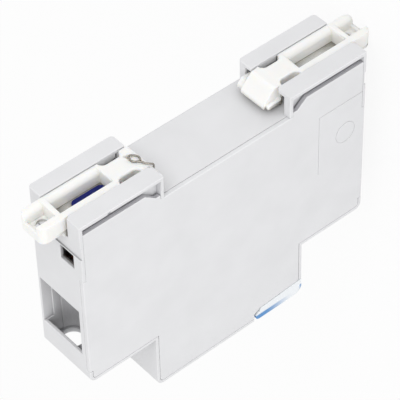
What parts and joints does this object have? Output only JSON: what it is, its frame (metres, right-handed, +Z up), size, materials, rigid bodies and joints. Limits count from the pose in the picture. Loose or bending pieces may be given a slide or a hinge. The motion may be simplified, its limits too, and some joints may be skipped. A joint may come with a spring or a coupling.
{
  "type": "residual current device",
  "caption": "Slim light-grey modular residual current device for a mounting rail, with a toggle, test button, label flap, screw terminals and white sliding rail clips at the rear.",
  "frame": {"origin": "middle of the rail recess's floor, on the module's middle plane", "axes": "+X along the rail, +Y out of the wall's side (rear, towards the rail), +Z up along the device, nose towards -Y"},
  "size_m": [0.0176, 0.0714, 0.0952],
  "materials": {
    "shell": "fine moulded texture, light grey",
    "clip": "satin white moulding",
    "flap": "clear light-blue moulding",
    "card": "plain white card",
    "steel": "bright drawn steel",
    "blued": "blued spring steel",
    "copper": "bright copper",
    "brass": "bright brass",
    "silver": "silver alloy contact",
    "black": "black moulding",
    "carrier": "dark grey moulding",
    "button": "yellow moulding",
    "brown_insulation": "brown insulation",
    "blue_insulation": "blue insulation",
    "core": "dull grey core",
    "board": "green laminate",
    "can": "sleeved can",
    "resistor": "tan lacquer",
    "varistor": "blue lacquer",
    "lever": "natural moulding"
  },
  "bodies": {
    "case": {"case_shell": "shell", "side_cover": "shell", "label_flap_pin": "steel", "label_card": "card", "lower_clip_spring": "steel", "lower_clip_leaf": "blued", "toggle_pin": "steel", "toggle_spring": "steel", "test_button_spring": "steel", "test_contact_leaf": "brass", "carrier_pin": "steel", "pivot_lugs": "copper", "line_fixed_contact": "copper", "neutral_fixed_contact": "copper", "fixed_contact_tips": "silver", "arc_plates": "steel", "toroid_core": "core", "toroid_winding": "copper", "line_conductor": "brown_insulation", "neutral_conductor": "blue_insulation", "left_terminal_strap": "copper", "right_terminal_strap": "copper", "circuit_board": "board", "board_capacitor": "can", "board_chip": "black", "test_resistor": "resistor", "varistor": "varistor", "trip_relay_housing": "black", "trip_relay_coil": "copper", "trip_lever_pin": "steel"},
    "upper_clip": {"upper_rail_clip": "clip", "upper_clip_wire": "steel", "upper_clip_leaf": "blued"},
    "lower_clip": {"lower_rail_clip": "clip"},
    "toggle": {"toggle_lever": "black"},
    "carrier": {"contact_carrier": "carrier", "line_blade": "copper", "neutral_blade": "copper", "moving_contact_tips": "silver"},
    "button": {"test_button": "button"},
    "flap": {"label_flap": "flap"},
    "left_screw": {"left_terminal_screw": "steel"},
    "right_screw": {"right_terminal_screw": "steel"},
    "left_cage": {"left_terminal_cage": "brass"},
    "right_cage": {"right_terminal_cage": "brass"},
    "plunger": {"trip_plunger": "steel"},
    "trip_lever": {"trip_lever": "lever"}
  },
  "joints": [
    {"name": "upper_clip_slide", "type": "slide", "parent": "case", "child": "upper_clip", "axis": [0, 0, -1], "range_m": [0, 0.003]},
    {"name": "lower_clip_slide", "type": "slide", "parent": "case", "child": "lower_clip", "axis": [0, 0, -1], "range_m": [0, 0.0032], "stiffness_N_per_m": 400, "springref_m": -0.002, "deforming": ["lower_clip_spring"]},
    {"name": "toggle_turn", "type": "hinge", "parent": "case", "child": "toggle", "pos_m": [0, -0.0515, 0.004], "axis": [-1, 0, 0], "range_deg": [0, 60]},
    {"name": "carrier_turn", "type": "hinge", "parent": "case", "child": "carrier", "pos_m": [0, -0.026, 0.004], "axis": [1, 0, 0], "range_deg": [0, 15.2]},
    {"name": "button_press", "type": "slide", "parent": "case", "child": "button", "axis": [0, 1, 0], "range_m": [0, 0.0014], "stiffness_N_per_m": 300, "springref_m": -0.001, "deforming": ["test_button_spring"]},
    {"name": "flap_turn", "type": "hinge", "parent": "case", "child": "flap", "pos_m": [0, -0.05855, -0.009], "axis": [-1, 0, 0], "range_deg": [0, 95]},
    {"name": "left_screw_turn", "type": "hinge", "parent": "case", "child": "left_screw", "pos_m": [-0.00365, -0.0401, -0.0367], "axis": [0, 1, 0], "range_deg": [0, 1806]},
    {"name": "right_screw_turn", "type": "hinge", "parent": "case", "child": "right_screw", "pos_m": [0.00365, -0.0401, -0.0367], "axis": [0, 1, 0], "range_deg": [0, 1806]},
    {"name": "left_cage_slide", "type": "slide", "parent": "case", "child": "left_cage", "axis": [0, -1, 0], "range_m": [0, 0.003]},
    {"name": "right_cage_slide", "type": "slide", "parent": "case", "child": "right_cage", "axis": [0, -1, 0], "range_m": [0, 0.003]},
    {"name": "plunger_slide", "type": "slide", "parent": "case", "child": "plunger", "axis": [0, 0, 1], "range_m": [0, 0.0012]},
    {"name": "trip_lever_turn", "type": "hinge", "parent": "case", "child": "trip_lever", "pos_m": [0.0006, -0.031, -0.0037], "axis": [-1, 0, 0], "range_deg": [0, 13.1]}
  ],
  "couplings": [
    {"joint": "carrier_turn", "follows": "toggle_turn", "ratio": 0.25181},
    {"joint": "left_screw_turn", "follows": "left_cage_slide", "rad_per_m": 10472},
    {"joint": "right_screw_turn", "follows": "right_cage_slide", "rad_per_m": 10472},
    {"joint": "trip_lever_turn", "follows": "plunger_slide", "rad_per_m": 189}
  ]
}
